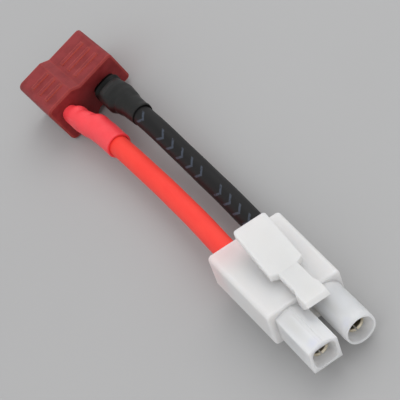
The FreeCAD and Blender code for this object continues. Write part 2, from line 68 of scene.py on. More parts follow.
class Graph:
    """A node tree with short ways to add nodes and join sockets."""

    def __init__(self, tree: bpy.types.NodeTree) -> None:
        """Keep the tree."""
        self.tree = tree

    def add(
        self, kind: str, inputs: Mapping[Any, Any] | None = None, **settings: Any
    ) -> bpy.types.Node:
        """Add a node.

        Args:
            kind: Blender's identifier of the node.
            inputs: values or sockets for its inputs, by name or number.
            settings: properties of the node.

        Returns:
            The new node.
        """
        node = self.tree.nodes.new(kind)
        for name, value in settings.items():
            setattr(node, name, value)
        for key, value in (inputs or {}).items():
            self.put(node.inputs[key], value)
        return node

    def put(self, socket: Socket, value: Any) -> None:
        """Join a socket to an input, or give the input a plain value.

        Args:
            socket: the input.
            value: a socket or a plain value.
        """
        if isinstance(value, Socket):
            self.tree.links.new(value, socket)
        elif socket.type == "RGBA" and len(value) == 3:
            socket.default_value = (*value, 1.0)
        else:
            socket.default_value = value

    def math(self, operation: str, a: Any, b: Any = 0.0, clamp: bool = False) -> Socket:
        """Work out one number from two."""
        node = self.add("ShaderNodeMath", {0: a, 1: b}, operation=operation, use_clamp=clamp)
        return node.outputs[0]

    def rest(self, share: Any, clamp: bool = False) -> Socket:
        """What a share leaves of one."""
        return self.math("SUBTRACT", 1.0, share, clamp)

    def smooth(self, value: Any, low: float, high: float) -> Socket:
        """Ease a value from 0 at low to 1 at high."""
        inputs = {"Value": value, "From Min": low, "From Max": high}
        return self.add("ShaderNodeMapRange", inputs, interpolation_type="SMOOTHSTEP").outputs[0]

    def mix(self, share: Any, first: Any, second: Any) -> Socket:
        """Mix two colours by a share of the second."""
        node = self.add("ShaderNodeMix", {0: share, 6: first, 7: second}, data_type="RGBA")
        return node.outputs[2]

    def blend(self, share: Any, first: float | Socket, second: float | Socket) -> Socket:
        """Mix two numbers by a share of the second."""
        node = self.add("ShaderNodeMix", {0: share, 2: first, 3: second}, data_type="FLOAT")
        return node.outputs[0]

    def bump(
        self, height: Socket, *, strength: float, depth_mm: float, normal: Socket | None = None
    ) -> Socket:
        """Tilt the normal by a height field.

        Args:
            height: the field, from 0 to 1.
            strength: the share of the tilt.
            depth_mm: the field's full depth in millimetres.
            normal: the normal to tilt, if not the surface's own.

        Returns:
            The tilted normal.
        """
        inputs = {"Height": height, "Strength": strength, "Distance": depth_mm * MM}
        if normal is not None:
            inputs["Normal"] = normal
        return self.add("ShaderNodeBump", inputs).outputs["Normal"]

    def place(self, stretch: Point = (1.0, 1.0, 1.0)) -> Socket:
        """Object coordinates in millimetres, divided by a stretch along each axis.

        Args:
            stretch: how much longer a pattern is along each axis.

        Returns:
            The coordinates.
        """
        coords = self.add("ShaderNodeTexCoord").outputs["Object"]
        scale = tuple(1.0 / (MM * s) for s in stretch)
        mapping = self.add("ShaderNodeMapping", {"Vector": coords, "Scale": scale})
        return mapping.outputs["Vector"]

    def noise(
        self, vector: Socket, scale: float | Socket, *, detail: float = 2.0, rough: float = 0.5
    ) -> Socket:
        """Smooth noise from 0 to 1.

        Args:
            vector: coordinates in millimetres.
            scale: how fast it changes, per millimetre.
            detail: how many finer layers it has.
            rough: the share of each finer layer.

        Returns:
            The noise.
        """
        inputs = {"Vector": vector, "Scale": scale, "Detail": detail, "Roughness": rough}
        return self.add("ShaderNodeTexNoise", inputs).outputs["Fac"]


SocketRow = tuple[str, str, Any]


def new_group(
    name: str, inputs: Sequence[SocketRow], outputs: Sequence[SocketRow]
) -> tuple[Graph, Any, Any]:
    """Start a shader node group.

    Args:
        name: the group's name.
        inputs: rows of name, socket kind and default value.
        outputs: rows of name, socket kind and None.

    Returns:
        The group's graph, its input node's outputs and its output node's inputs.
    """
    tree = bpy.data.node_groups.new(name, "ShaderNodeTree")
    for way, rows in (("INPUT", inputs), ("OUTPUT", outputs)):
        for label, kind, default in rows:
            socket = tree.interface.new_socket(name=label, in_out=way, socket_type=kind)
            if default is not None:
                socket.default_value = default
    graph = Graph(tree)
    return graph, graph.add("NodeGroupInput").outputs, graph.add("NodeGroupOutput").inputs


class SharedEffects:
    """Node groups that more than one finish uses, each built once.

    Scales are per millimetre. The film is the dust between the specks.
    """

    FLOAT = "NodeSocketFloat"
    COLOUR = "NodeSocketColor"
    VECTOR = "NodeSocketVector"

    EDGE_SAMPLES = 6
    EDGE_GAIN = 5.0
    MOTTLE_LOW, MOTTLE_HIGH = 0.35, 0.7
    COARSE_SCALE = 0.22
    FINE_SHARE = 0.62
    SPECK_LOW, SPECK_HIGH = 0.66, 0.74
    FILM_SCALE = 0.25
    FILM_SHARE = 0.35

    def __init__(self) -> None:
        """Build every group."""
        self.rounding = self._rounding()
        self.mottle = self._mottle()
        self.skin = self._skin()
        self.dust = self._dust()
        self.zone = self._zone()

    def _rounding(self) -> bpy.types.NodeTree:
        """Soft edges: the normal averaged over a radius, and a mask of where that turns it.

        Returns:
            The group.
        """
        outputs = [("Mask", self.FLOAT, None), ("Normal", self.VECTOR, None)]
        graph, start, end = new_group("edge rounding", [("Radius", self.FLOAT, 0.0002)], outputs)
        bevel = graph.add("ShaderNodeBevel", {"Radius": start["Radius"]}, samples=self.EDGE_SAMPLES)
        ends = {
            0: bevel.outputs["Normal"], 1: graph.add("ShaderNodeNewGeometry").outputs["Normal"],
        }
        dot = graph.add("ShaderNodeVectorMath", ends, operation="DOT_PRODUCT").outputs["Value"]
        graph.put(end["Mask"], graph.math("MULTIPLY", graph.rest(dot), self.EDGE_GAIN, clamp=True))
        graph.put(end["Normal"], bevel.outputs["Normal"])
        return graph.tree

    def _mottle(self) -> bpy.types.NodeTree:
        """Slow change of colour over the surface.

        Returns:
            The group.
        """
        rows = [
            ("Vector", self.VECTOR, None), ("Scale", self.FLOAT, 0.2), ("Amount", self.FLOAT, 0.5),
            ("Base", self.COLOUR, None), ("Tint", self.COLOUR, None),
        ]
        graph, start, end = new_group("colour mottle", rows, [("Color", self.COLOUR, None)])
        wide = graph.noise(start["Vector"], start["Scale"], detail=3.0, rough=0.6)
        drift = graph.smooth(wide, self.MOTTLE_LOW, self.MOTTLE_HIGH)
        share = graph.math("MULTIPLY", drift, start["Amount"], clamp=True)
        graph.put(end["Color"], graph.mix(share, start["Base"], start["Tint"]))
        return graph.tree

    def _skin(self) -> bpy.types.NodeTree:
        """Fine surface: a height of two grain sizes and a roughness that follows the coarse one.

        Returns:
            The group.
        """
        rows = [
            ("Vector", self.VECTOR, None), ("Scale", self.FLOAT, 3.0),
            ("Rough", self.FLOAT, 0.5), ("Spread", self.FLOAT, 0.1),
        ]
        outputs = [("Height", self.FLOAT, None), ("Roughness", self.FLOAT, None)]
        graph, start, end = new_group("fine skin", rows, outputs)
        wide = graph.math("MULTIPLY", start["Scale"], self.COARSE_SCALE)
        coarse = graph.noise(start["Vector"], wide)
        fine = graph.noise(start["Vector"], start["Scale"], detail=3.0, rough=0.65)
        swing = graph.math("MULTIPLY", graph.math("SUBTRACT", coarse, 0.5), start["Spread"])
        graph.put(end["Height"], graph.blend(self.FINE_SHARE, coarse, fine))
        graph.put(end["Roughness"], graph.math("ADD", swing, start["Rough"], clamp=True))
        return graph.tree

    def _dust(self) -> bpy.types.NodeTree:
        """Sparse pale specks and a faint film of dust.

        Returns:
            The group.
        """
        rows = [
            ("Vector", self.VECTOR, None), ("Scale", self.FLOAT, 2.0), ("Cover", self.FLOAT, 0.1),
        ]
        graph, start, end = new_group("dust", rows, [("Mask", self.FLOAT, None)])
        grit = graph.noise(start["Vector"], start["Scale"], detail=4.0, rough=0.7)
        specks = graph.smooth(grit, self.SPECK_LOW, self.SPECK_HIGH)
        film = graph.noise(start["Vector"], self.FILM_SCALE)
        both = graph.math("ADD", specks, graph.math("MULTIPLY", film, self.FILM_SHARE))
        graph.put(end["Mask"], graph.math("MULTIPLY", both, start["Cover"], clamp=True))
        return graph.tree

    def _zone(self) -> bpy.types.NodeTree:
        """A soft ball of influence around a point, in millimetres.

        Returns:
            The group.
        """
        rows = [
            ("Vector", self.VECTOR, None), ("Centre", self.VECTOR, None),
            ("Reach", self.FLOAT, 5.0),
        ]
        graph, start, end = new_group("zone", rows, [("Mask", self.FLOAT, None)])
        ends = {0: start["Vector"], 1: start["Centre"]}
        away = graph.add("ShaderNodeVectorMath", ends, operation="DISTANCE").outputs["Value"]
        share = graph.math("DIVIDE", away, start["Reach"])
        graph.put(end["Mask"], graph.rest(graph.smooth(share, 0.0, 1.0), clamp=True))
        return graph.tree


class Finish:
    """A material in the making: its graph, its shader and the shared effects."""

    def __init__(self, name: str, effects: SharedEffects) -> None:
        """Make an empty material with one Principled shader.

        Args:
            name: the material's name.
            effects: the shared node groups.
        """
        self.material = bpy.data.materials.new(name)
        self.material.use_nodes = True
        self.material.node_tree.nodes.clear()
        self.graph = Graph(self.material.node_tree)
        self.effects = effects
        self.shader = self.graph.add("ShaderNodeBsdfPrincipled")
        output = self.graph.add("ShaderNodeOutputMaterial")
        self.graph.put(output.inputs["Surface"], self.shader.outputs["BSDF"])

    def use(self, tree: bpy.types.NodeTree, inputs: Mapping[str, Any]) -> bpy.types.Node:
        """Place a shared group in this material with its own values."""
        return self.graph.add("ShaderNodeGroup", inputs, node_tree=tree)

    def set(self, inputs: Mapping[str, Any]) -> None:
        """Give the shader's inputs values or sockets."""
        for key, value in inputs.items():
            self.graph.put(self.shader.inputs[key], value)

    def mottled(
        self, place: Socket, base: Colour, tint: Colour, *, scale: float, amount: float
    ) -> Socket:
        """Colour that drifts from a base towards a tint.

        Args:
            place: coordinates in millimetres.
            base: the colour.
            tint: the colour that it drifts to.
            scale: how fast it drifts, per millimetre.
            amount: largest share of the tint.

        Returns:
            The mottled colour.
        """
        values = {"Vector": place, "Scale": scale, "Amount": amount, "Base": base, "Tint": tint}
        return self.use(self.effects.mottle, values).outputs["Color"]

    def dusted(
        self, place: Socket, colour: Socket, powder: Colour, *, scale: float, cover: float
    ) -> Socket:
        """Colour with specks and a film of dust on it.

        Args:
            place: coordinates in millimetres.
            colour: the colour under the dust.
            powder: the colour of the dust.
            scale: how close the specks lie, per millimetre.
            cover: largest share of the dust.

        Returns:
            The dusted colour.
        """
        values = {"Vector": place, "Scale": scale, "Cover": cover}
        return self.graph.mix(self.use(self.effects.dust, values).outputs["Mask"], colour, powder)

    def grained(
        self, place: Socket, *, scale: float, rough: float, spread: float
    ) -> tuple[Socket, Socket]:
        """Fine grain of the surface.

        Args:
            place: coordinates in millimetres.
            scale: how fine the grain is, per millimetre.
            rough: the mean roughness.
            spread: how far the roughness swings.

        Returns:
            The grain's height and the roughness.
        """
        values = {"Vector": place, "Scale": scale, "Rough": rough, "Spread": spread}
        node = self.use(self.effects.skin, values)
        return node.outputs["Height"], node.outputs["Roughness"]

    def rounded(self, radius_mm: float) -> tuple[Socket, Socket]:
        """Mask of the edges within a radius, and the normal with these edges rounded."""
        node = self.use(self.effects.rounding, {"Radius": radius_mm * MM})
        return node.outputs["Mask"], node.outputs["Normal"]

    def scatter(self, *, weight: float, radius: Colour, depth_mm: float) -> None:
        """Let light into the surface.

        Args:
            weight: the share of the light that goes in.
            radius: how far each colour goes, as shares of the depth.
            depth_mm: the depth in millimetres.
        """
        self.set({
            "Subsurface Weight": weight, "Subsurface Radius": radius,
            "Subsurface Scale": depth_mm * MM,
        })


@dataclass(frozen=True)
class Patch:
    """A soft patch of another colour, used here for painted light and painted shade: where, how far
    it reaches and how much longer it is on Y.
    """

    colour: Colour
    centre: Point
    reach: float
    long: float = 1.0

    def mask(self, finish: Finish) -> Socket:
        """Where the patch is.

        Args:
            finish: the material that the patch is part of.

        Returns:
            1 at the centre of the patch and 0 beyond its reach.
        """
        x, y, z = self.centre
        place = finish.graph.place((1.0, self.long, 1.0))
        values = {"Vector": place, "Centre": (x, y / self.long, z), "Reach": self.reach}
        return finish.use(finish.effects.zone, values).outputs["Mask"]

    def lay(self, finish: Finish, colour: Socket, most: float = 1.0) -> Socket:
        """Mix the patch over a colour.

        Args:
            finish: the material that the patch is part of.
            colour: the colour under it.
            most: its share at the centre.

        Returns:
            The colour with the patch.
        """
        share = finish.graph.math("MULTIPLY", self.mask(finish), most)
        return finish.graph.mix(share, colour, self.colour)


@dataclass(frozen=True)
class NamedFinish:
    """A finish by name. Each kind holds its colours and sizes and fills in the material."""

    name: str

    def fill(self, finish: Finish) -> None:
        """Fill in the material that is in the making."""
        raise NotImplementedError

    def build(self, effects: SharedEffects) -> bpy.types.Material:
        """Make the material.

        Args:
            effects: the shared node groups.

        Returns:
            The material.
        """
        finish = Finish(self.name, effects)
        self.fill(finish)
        return finish.material


@dataclass(frozen=True)
class MouldedNylon(NamedFinish):
    """Dyed nylon as it leaves the mould: soft sheen, spark-eroded grain, paler rounded edges that
    are a painted highlight, and a patch of painted shade.
    """

    body: Colour
    tint: Colour
    edge: Colour
    powder: Colour
    shade: Patch
    rough: float = 0.46
    grain_mm: float = 0.05
    edge_mm: float = 0.25
    painted_highlight_mm: float = 0.65
    painted_highlight_share: float = 0.9

    def fill(self, finish: Finish) -> None:
        """Fill in the material.

        Args:
            finish: the material in the making.
        """
        graph = finish.graph
        place = graph.place()
        colour = finish.mottled(place, self.body, self.tint, scale=0.45, amount=0.9)
        # The paler edge colour is a painted highlight along the rounded edges.
        rim, _ = finish.rounded(self.painted_highlight_mm)
        colour = graph.mix(graph.math("MULTIPLY", rim, self.painted_highlight_share), colour, self.edge)
        # Painted shade: a darker patch on the plug's face between the sleeves, where shade falls.
        colour = self.shade.lay(finish, colour)
        colour = finish.dusted(place, colour, self.powder, scale=1.6, cover=0.09)
        height, rough = finish.grained(place, scale=4.0, rough=self.rough, spread=0.18)
        _, soft = finish.rounded(self.edge_mm)
        finish.set({
            "Base Color": colour, "Roughness": rough, "Specular IOR Level": 0.26,
            "Normal": graph.bump(height, strength=0.5, depth_mm=self.grain_mm, normal=soft),
        })
        finish.scatter(weight=0.08, radius=(1.0, 0.25, 0.2), depth_mm=0.6)


@dataclass(frozen=True)
class MilkyNylon(NamedFinish):
    """Undyed nylon: milky and a little see-through, with spots of painted light and painted shade
    where light and the parts inside show through it.
    """

    body: Colour
    tint: Colour
    deep_mm: float
    painted_light_spots: tuple[Patch, ...] = ()
    painted_light_share: float = 0.6
    rough: float = 0.42
    grain_mm: float = 0.04
    edge_mm: float = 0.25

    def fill(self, finish: Finish) -> None:
        """Fill in the material.

        Args:
            finish: the material in the making.
        """
        graph = finish.graph
        place = graph.place()
        colour = finish.mottled(place, self.body, self.tint, scale=0.2, amount=0.6)
        # Each spot is painted light or painted shade mixed into the colour.
        for patch in self.painted_light_spots:
            colour = patch.lay(finish, colour, self.painted_light_share)
        height, rough = finish.grained(place, scale=2.4, rough=self.rough, spread=0.16)
        _, soft = finish.rounded(self.edge_mm)
        finish.set({
            "Base Color": colour, "Roughness": rough,
            "Normal": graph.bump(height, strength=0.35, depth_mm=self.grain_mm, normal=soft),
        })
        finish.scatter(weight=1.0, radius=(1.0, 0.95, 0.9), depth_mm=self.deep_mm)


@dataclass(frozen=True)
class PrintedMarks:
    """Faint printed chevrons in a row along a lead, in groups with a gap between them.

    The row's middle is a share of the way around, the slant is how far a stroke runs along the lead
    for each millimetre around it, and a group is counted in marks. The other sizes are in
    millimetres.
    """

    colour: Colour
    girth: float
    middle: float = 0.30
    half_width: float = 1.1
    blur: float = 0.14
    pitch: float = 3.1
    point: float = 0.5
    slant: float = 1.1
    stroke: float = 0.2
    stroke_end: float = 0.42
    group: float = 6.0
    group_start: float = 3.0
    last_drawn: float = 4.5
    share: float = 0.8

    def _stroke(self, graph: Graph, step: Socket, around: Socket) -> Socket:
        """One chevron in each step: where the length runs ahead of its point by the slant.

        Args:
            graph: the material's graph.
            step: length along the lead, in steps.
            around: length around the lead, in millimetres.

        Returns:
            1 on a stroke and 0 off it.
        """
        middle = graph.math("SUBTRACT", graph.math("FRACT", step), 0.5)
        ahead = graph.math("ADD", graph.math("MULTIPLY", middle, self.pitch), self.point)
        away = graph.math("SUBTRACT", around, self.middle * self.girth)
        across = graph.math("ABSOLUTE", away)
        lean = graph.math("SUBTRACT", ahead, graph.math("MULTIPLY", across, self.slant))
        off = graph.smooth(graph.math("ABSOLUTE", lean), self.stroke, self.stroke_end)
        beyond = graph.smooth(across, self.half_width, self.half_width + self.blur)
        return graph.math("MULTIPLY", graph.rest(off), graph.rest(beyond))

    def mask(self, finish: Finish) -> Socket:
        """Where the marks are.

        The piece's UV map gives the length along the lead and the way around it in millimetres. All
        but the last place of a group are drawn, and the print is worn here and there.

        Args:
            finish: the lead's material in the making.

        Returns:
            The print's share of the colour.
        """
        graph = finish.graph
        uv = graph.add("ShaderNodeTexCoord").outputs["UV"]
        parts = graph.add("ShaderNodeSeparateXYZ", {"Vector": uv}).outputs
        step = graph.math("DIVIDE", parts["X"], self.pitch)
        count = graph.math("ADD", graph.math("FLOOR", step), self.group_start)
        keep = graph.math("LESS_THAN", graph.math("MODULO", count, self.group), self.last_drawn)
        drawn = graph.math("MULTIPLY", self._stroke(graph, step, parts["Y"]), keep)
        worn = graph.smooth(graph.noise(graph.place(), 1.4, detail=3.0, rough=0.7), 0.25, 0.5)
        return graph.math("MULTIPLY", drawn, graph.math("MULTIPLY", worn, self.share), clamp=True)


@dataclass(frozen=True)
class SiliconeJacket(NamedFinish):
    """Silicone insulation: dull and slightly powdery, with printed marks if it has any."""

    body: Colour
    tint: Colour
    powder: Colour
    marks: PrintedMarks | None = None
    rough: float = 0.5
    grain_mm: float = 0.04
    stretch: Point = (1.0, 3.0, 1.0)

    def fill(self, finish: Finish) -> None:
        """Fill in the material.

        Args:
            finish: the material in the making.
        """
        graph = finish.graph
        place = graph.place(self.stretch)
        colour = finish.mottled(place, self.body, self.tint, scale=0.35, amount=0.7)
        colour = finish.dusted(place, colour, self.powder, scale=1.9, cover=0.12)
        if self.marks is not None:
            colour = graph.mix(self.marks.mask(finish), colour, self.marks.colour)
        height, rough = finish.grained(place, scale=2.2, rough=self.rough, spread=0.14)
        finish.set({
            "Base Color": colour, "Roughness": rough, "Sheen Weight": 0.02,
            "Specular IOR Level": 0.22,
            "Normal": graph.bump(height, strength=0.4, depth_mm=self.grain_mm),
        })


@dataclass(frozen=True)
class ShrunkSkin(NamedFinish):
    """Heat-shrunk sleeve: drawn tight, with fine wrinkles around it and a satin shine.

    The painted shade is a patch where it is darker and duller: shade and a dull reflection painted
    on beside the plug.
    """

    body: Colour
    tint: Colour
    powder: Colour
    rough: float = 0.4
    shine: float = 0.35
    painted_shade_patch: Patch | None = None
    painted_shade_shine: float = 0.02
    wrinkle_mm: float = 0.14
    wrinkle_stretch: Point = (2.2, 1.3, 2.2)
    grain_mm: float = 0.03

    def fill(self, finish: Finish) -> None:
        """Fill in the material.

        Args:
            finish: the material in the making.
        """
        graph = finish.graph
        place = graph.place()
        colour = finish.mottled(place, self.body, self.tint, scale=0.45, amount=0.7)
        colour = finish.dusted(place, colour, self.powder, scale=2.2, cover=0.08)
        shine = self.shine
        # Painted shade beside the plug: darker colour and less shine there.
        if self.painted_shade_patch is not None:
            colour = self.painted_shade_patch.lay(finish, colour)
            shine = graph.blend(self.painted_shade_patch.mask(finish), self.shine, self.painted_shade_shine)
        height, rough = finish.grained(place, scale=3.2, rough=self.rough, spread=0.2)
        folds = graph.noise(graph.place(self.wrinkle_stretch), 1.0)
        wrinkles = graph.bump(folds, strength=0.4, depth_mm=self.wrinkle_mm)
        finish.set({
            "Base Color": colour, "Roughness": rough, "Specular IOR Level": shine,
            "Normal": graph.bump(height, strength=0.35, depth_mm=self.grain_mm, normal=wrinkles),
        })
        finish.scatter(weight=0.06, radius=(1.0, 0.3, 0.2), depth_mm=0.5)


@dataclass(frozen=True)
class RolledMetal(NamedFinish):
    """Rolled or plated sheet metal with fine lines along it and a few dull spots."""

    body: Colour
    tint: Colour
    rough: float
    line_stretch: Point = (0.4, 8.0, 0.4)
    line_mm: float = 0.02
    edge_mm: float = 0.06

    def fill(self, finish: Finish) -> None:
        """Fill in the material.

        Args:
            finish: the material in the making.
        """
        graph = finish.graph
        place = graph.place()
        colour = finish.mottled(place, self.body, self.tint, scale=0.6, amount=0.8)
        lines = graph.noise(graph.place(self.line_stretch), 2.0, detail=3.0, rough=0.6)
        _, rough = finish.grained(place, scale=2.0, rough=self.rough, spread=0.2)
        _, soft = finish.rounded(self.edge_mm)
        finish.set({
            "Base Color": colour, "Metallic": 1.0, "Roughness": rough,
            "Normal": graph.bump(lines, strength=0.35, depth_mm=self.line_mm, normal=soft),
        })


@dataclass(frozen=True)
class SolidMesh:
    """Corners, faces and face-corner UV places of a surface in millimetres."""

    corners: np.ndarray
    faces: np.ndarray
    uv: np.ndarray

    def volume(self) -> float:
        """Signed volume, positive where the faces point outwards."""
        a, b, c, d = (self.corners[self.faces[:, k]] for k in range(4))
        return float(np.sum(a * (np.cross(b, c) + np.cross(c, d))) / 6)

    def outward(self) -> "SolidMesh":
        """The same surface with its faces pointing outwards."""
        flipped = SolidMesh(self.corners, self.faces[:, ::-1], self.uv[:, ::-1])
        return self if self.volume() >= 0 else flipped

    def make(self, name: str) -> bpy.types.Object:
        """Make the Blender object.

        Args:
            name: the piece's name.

        Returns:
            A smooth-shaded mesh object at the origin.
        """
        mesh = bpy.data.meshes.new(name)
        mesh.from_pydata((self.corners * MM).tolist(), [], self.faces.tolist())
        layer = mesh.uv_layers.new(name="UVMap")
        layer.data.foreach_set("uv", self.uv.reshape(-1))
        mesh.polygons.foreach_set("use_smooth", np.ones(len(mesh.polygons), bool))
        mesh.update()
        piece = bpy.data.objects.new(name, mesh)
        bpy.context.scene.collection.objects.link(piece)
        return piece


def ring_grid(rows: int, around: int) -> np.ndarray:
    """Quads between neighbouring rings, and from the last ring back to the first.

    Corner k of ring i is number i * around + k, and each quad joins it to the next corner and the
    next ring, both counted round, so the surface closes both ways.

    Args:
        rows: how many rings.
        around: how many corners in a ring.

    Returns:
        Rows of four corner numbers.
    """
    ring, corner = np.meshgrid(np.arange(rows), np.arange(around), indexing="ij")
    here, ahead, beside = ring * around, (ring + 1) % rows * around, (corner + 1) % around
    quads = np.stack((here + corner, here + beside, ahead + beside, ahead + corner), axis=-1)
    return quads.reshape(-1, 4)


def closed_skin(rings: np.ndarray, along: np.ndarray, girth: np.ndarray) -> SolidMesh:
    """Surface through rings of points, closed from the last ring back to the first.

    Args:
        rings: points, one row per ring, out along the outer skin and back along the inner one.
        along: length along the piece of each ring, in millimetres.
        girth: length around the piece of each ring, in millimetres.

    Returns:
        The closed surface, with UV places of length along and length around.
    """
    rows, around = rings.shape[:2]
    faces = ring_grid(rows, around)
    turn = np.arange(around + 1) / around
    u = np.repeat(along[:, None], around + 1, axis=1)
    v = girth[:, None] * turn[None, :]
    here = np.stack((u, v), axis=-1)
    ahead = np.roll(here, -1, axis=0)
    uv = np.stack((here[:, :-1], here[:, 1:], ahead[:, 1:], ahead[:, :-1]), axis=2)
    return SolidMesh(rings.reshape(-1, 3), faces, uv.reshape(-1, 4, 2)).outward()


@dataclass
class Lead:
    """One silicone lead, from its contact in the white housing to its tab in the red plug.

    Lengths are in millimetres. The ripple's rate is in radians per millimetre along the lead, and
    its twist in radians around it.
    """

    name: str
    colour: str
    slot: Slot
    route: tuple[Point, ...]
    length: float
    exit: Point
    diameter: float = 3.85
    bore: float = 1.86
    ripple: float = 0.006
    ripple_rate: float = 0.55
    ripple_twist: float = 2.0
    around: int = 64
    rows: int = 260
    curve_steps: int = 48
    path_step: int = 4

    def route_line(self) -> np.ndarray:
        """The smooth line that has the route as its control points.

        Returns:
            Its points in millimetres, evenly spaced.
        """
        curve = bpy.data.curves.new(self.name + "_line", "CURVE")
        curve.dimensions = "3D"
        curve.resolution_u = self.curve_steps
        spline = curve.splines.new("NURBS")
        spline.points.add(len(self.route) - 1)
        for point, place in zip(spline.points, self.route):
            point.co = (*(v * MM for v in place), 1.0)
        spline.order_u = 3
        spline.use_endpoint_u = True
        holder = bpy.data.objects.new(self.name + "_line", curve)
        bpy.context.scene.collection.objects.link(holder)
        bpy.context.view_layer.update()
        depsgraph = bpy.context.evaluated_depsgraph_get()
        mesh = bpy.data.meshes.new_from_object(holder.evaluated_get(depsgraph))
        flat = np.zeros(len(mesh.vertices) * 3)
        mesh.vertices.foreach_get("co", flat)
        bpy.data.objects.remove(holder)
        bpy.data.curves.remove(curve)
        bpy.data.meshes.remove(mesh)
        points = flat.reshape(-1, 3) / MM
        steps = np.r_[0.0, np.cumsum(np.linalg.norm(np.diff(points, axis=0), axis=1))]
        even = np.linspace(0.0, steps[-1], self.rows)
        return np.stack([np.interp(even, steps, points[:, k]) for k in range(3)], axis=1)

    def skin(self, line: np.ndarray) -> SolidMesh:
        """Tube around the line: a circle carried along it, square to it, with a slow ripple.

        The side way is the line's direction crossed with up, and a ring's point is the line's point
        plus the radius times cosine along the side way and sine along the way square to both. The
        outer wall runs out and the bore runs back.

        Args:
            line: points of the line in millimetres.

        Returns:
            The tube.
        """
        step = np.gradient(line, axis=0)
        along = step / np.linalg.norm(step, axis=1, keepdims=True)
        side = np.cross(along, (0.0, 0.0, 1.0))
        side /= np.linalg.norm(side, axis=1, keepdims=True)
        rise = np.cross(side, along)
        turn = np.arange(self.around) * 2 * np.pi / self.around
        cos, sin = np.cos(turn)[None, :, None], np.sin(turn)[None, :, None]
        spoke = cos * side[:, None, :] + sin * rise[:, None, :]
        run = np.linspace(0.0, self.length, self.rows)
        wave = np.sin(run[:, None, None] * self.ripple_rate + self.ripple_twist * cos)
        outer = line[:, None, :] + spoke * (self.diameter / 2 * (1 + self.ripple * wave))
        inner = line[:, None, :] + spoke * (self.bore / 2)
        rings = np.concatenate((outer, inner[::-1]))
        length = np.r_[run, run[::-1]]
        girth = np.full(len(length), math.pi * self.diameter)
        return closed_skin(rings, length, girth)

    def build(self, material: bpy.types.Material) -> bpy.types.Object:
        """Args:
            material: the jacket's finish.

        Returns:
            The jacket.
        """
        line = self.route_line()
        piece = self.skin(line).make(self.name)
        piece.data.materials.append(material)
        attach(piece, "cable")
        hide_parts("wire_jacket_" + self.colour)
        [v * MM for v in self.exit]
        return piece


@dataclass(frozen=True)
class Crease:
    """A soft dent or swelling of a sleeve.

    It has a place along the sleeve, an angle around it in degrees, a length along it, a spread
    around it in degrees and a height, which is negative for a dent.
    """

    y: float
    angle: float
    length: float
    spread: float
    height: float


@dataclass
class ShrunkSleeve:
    """Sleeve shrunk over a solder tab and the end of a lead, in the plug's own frame.

    A station is a row of y, centre x, centre z, half width, half height, power of the oval and
    wall. The lip is the radius of both rims, and the girth is the length around in the UV map.
    """

    name: str
    node: str
    slot: Slot
    stations: tuple[tuple[float, ...], ...]
    creases: tuple[Crease, ...]
    lip: float = 0.11
    girth: float = 14.0
    around: int = 96
    rows: int = 150
    plug_at: Point = (0.1188, 34.279, 4.8)
    plug_yaw: float = 3.06

    def sections(self) -> np.ndarray:
        """Rings between the stations, eased from each to the next.

        Returns:
            Rows like the stations.
        """
        table = np.array(self.stations)
        y = np.linspace(table[0, 0], table[-1, 0], self.rows)
        place = np.clip(np.searchsorted(-table[:, 0], -y, side="right") - 1, 0, len(table) - 2)
        near, far = table[place], table[place + 1]
        share = (y - near[:, 0]) / (far[:, 0] - near[:, 0])
        share = share * share * (3 - 2 * share)
        rows = near + (far - near) * share[:, None]
        rows[:, 0] = y
        return rows

    def swelling(self, y: np.ndarray, turn: np.ndarray) -> np.ndarray:
        """Sum of the creases: each is a bell along the sleeve times a bell around it.

        Args:
            y: places along the sleeve.
            turn: angles around it.

        Returns:
            Height of the swelling, a row for each place.
        """
        total = np.zeros((len(y), len(turn)))
        for crease in self.creases:
            off = np.angle(np.exp(1j * (turn - math.radians(crease.angle))))
            bell = np.exp(-(((y - crease.y) / crease.length) ** 2))
            around = np.exp(-((off / math.radians(crease.spread)) ** 2))
            total += crease.height * np.outer(bell, around)
        return total

    def skin(self) -> SolidMesh:
        """Oval rings |u/a|^n + |v/b|^n = 1 along the sleeve, outer skin out and inner one back.

        The creases swell the outer skin, and the lip rounds it off at both rims.

        Returns:
            The sleeve.
        """
        rows = self.sections()
        turn = np.arange(self.around) * 2 * np.pi / self.around
        cos, sin = np.cos(turn)[None, :], np.sin(turn)[None, :]
        power = rows[:, 5:6]
        reach = (np.abs(cos) ** power + np.abs(sin) ** power) ** (-1 / power)
        y = rows[:, 0]
        rim = np.minimum(y.max() - y, y - y.min()) / self.lip
        drop = self.lip * (1 - np.sqrt(1 - (1 - np.clip(rim, 0, 1)) ** 2))
        swell = self.swelling(y, turn) - drop[:, None]
        rings = []
        for grow in (swell, -rows[:, 6:7]):
            x = rows[:, 1:2] + (rows[:, 3:4] + grow) * reach * cos
            z = rows[:, 2:3] + (rows[:, 4:5] + grow) * reach * sin
            rings.append(np.stack((x, np.repeat(y[:, None], self.around, axis=1), z), axis=-1))
        yaw = math.radians(self.plug_yaw)
        spin = np.eye(3)
        spin[:2, :2] = (math.cos(yaw), -math.sin(yaw)), (math.sin(yaw), math.cos(yaw))
        loop = np.concatenate((rings[0], rings[1][::-1])) @ spin.T + np.array(self.plug_at)
        length = np.r_[-y, -y[::-1]]
        return closed_skin(loop, length, np.full(len(length), self.girth))

    def build(self, material: bpy.types.Material) -> bpy.types.Object:
        """Make the sleeve in the place of its plain solid.

        Args:
            material: the sleeve's finish.

        Returns:
            The sleeve.
        """
        piece = self.skin().make(self.name)
        piece.data.materials.append(material)
        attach(piece, "cable")
        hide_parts(self.node)
        return piece
